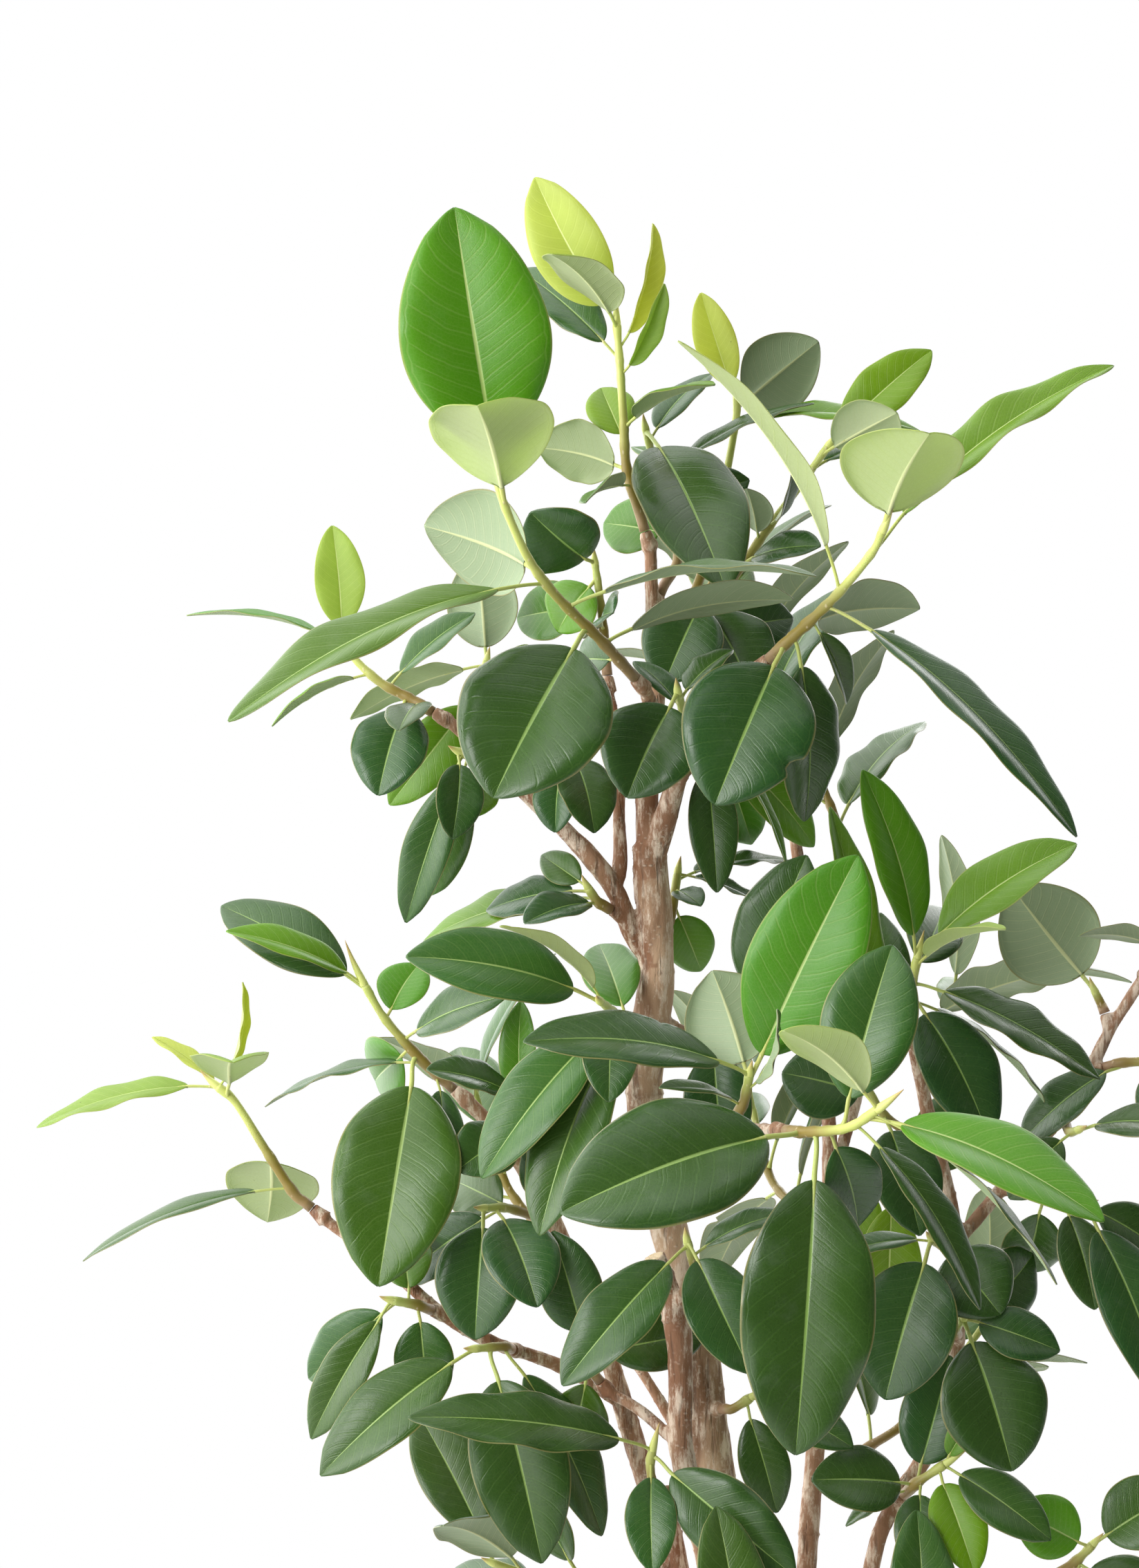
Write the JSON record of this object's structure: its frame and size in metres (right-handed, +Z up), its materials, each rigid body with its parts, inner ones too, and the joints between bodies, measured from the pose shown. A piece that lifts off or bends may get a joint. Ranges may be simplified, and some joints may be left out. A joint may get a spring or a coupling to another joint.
{
  "type": "potted rusty fig",
  "caption": "Bushy young rusty fig with several woody stems, glossy oval leaves and pale young shoots, in a plain round pot of soil.",
  "frame": {"origin": "centre of the pot's flat underside", "axes": "+Z up, -Y towards the front that the picture shows, +X to the viewer's right"},
  "size_m": [0.5433, 0.4035, 1.1],
  "materials": {
    "pot": "matte off-white stoneware, unglazed",
    "soil": "moist crumbly potting mix with bark chips",
    "bark": "pinkish grey bark with pale pores and brown patches",
    "leaf": "glossy dark green leaf with pale veins and a thin rusty margin",
    "young_leaf": "thin pale yellow-green young leaf, lets light through"
  },
  "bodies": {
    "root": {"back_left_shoot": "leaf", "back_low_right_shoot": "leaf", "back_low_shoot": "leaf", "back_mid_shoot": "leaf", "back_right_shoot": "leaf", "back_right_top_shoot": "leaf", "back_stem": "bark", "back_top_shoot": "leaf", "crown_left_shoot": "leaf", "crown_low_shoot": "leaf", "far_left_shoot": "leaf", "fork_front_shoot": "leaf", "fork_right_shoot": "leaf", "front_right_leaves": "leaf", "front_shoot": "leaf", "front_side_shoot": "leaf", "front_spur_shoot": "leaf", "front_stem": "bark", "front_top_shoot": "leaf", "left_back_shoot": "leaf", "left_low_shoot": "leaf", "left_shoot": "leaf", "left_stem": "bark", "limb_hanging_shoot": "leaf", "limb_top_shoot": "leaf", "limb_under_shoot": "leaf", "low_front_right_shoot": "leaf", "low_front_shoot": "leaf", "low_left_shoot": "leaf", "low_right_edge_shoot": "leaf", "low_right_shoot": "leaf", "lower_left_inner_shoot": "leaf", "lower_left_shoot": "leaf", "lower_right_shoot": "leaf", "main_stem": "bark", "mid_left_inner_shoot": "leaf", "mid_left_shoot": "leaf", "middle_left_shoot": "leaf", "near_front_shoot": "leaf", "near_left_shoot": "leaf", "near_right_shoot": "leaf", "pot": "pot", "right_back_leaves": "leaf", "right_edge_low_shoot": "leaf", "right_edge_shoot": "leaf", "right_edge_tip_shoot": "leaf", "right_edge_top_shoot": "leaf", "right_inner_shoot": "leaf", "right_low_shoot": "leaf", "right_mid_shoot": "leaf", "right_shoot": "leaf", "right_stem": "bark", "right_top_shoot": "young_leaf", "right_under_shoot": "leaf", "soil": "soil", "top_inner_shoot": "leaf", "top_shoot": "young_leaf", "trunk_side_shoot": "leaf", "trunk_twig_shoot": "leaf", "upper_right_shoot": "leaf"}
  },
  "joints": []
}
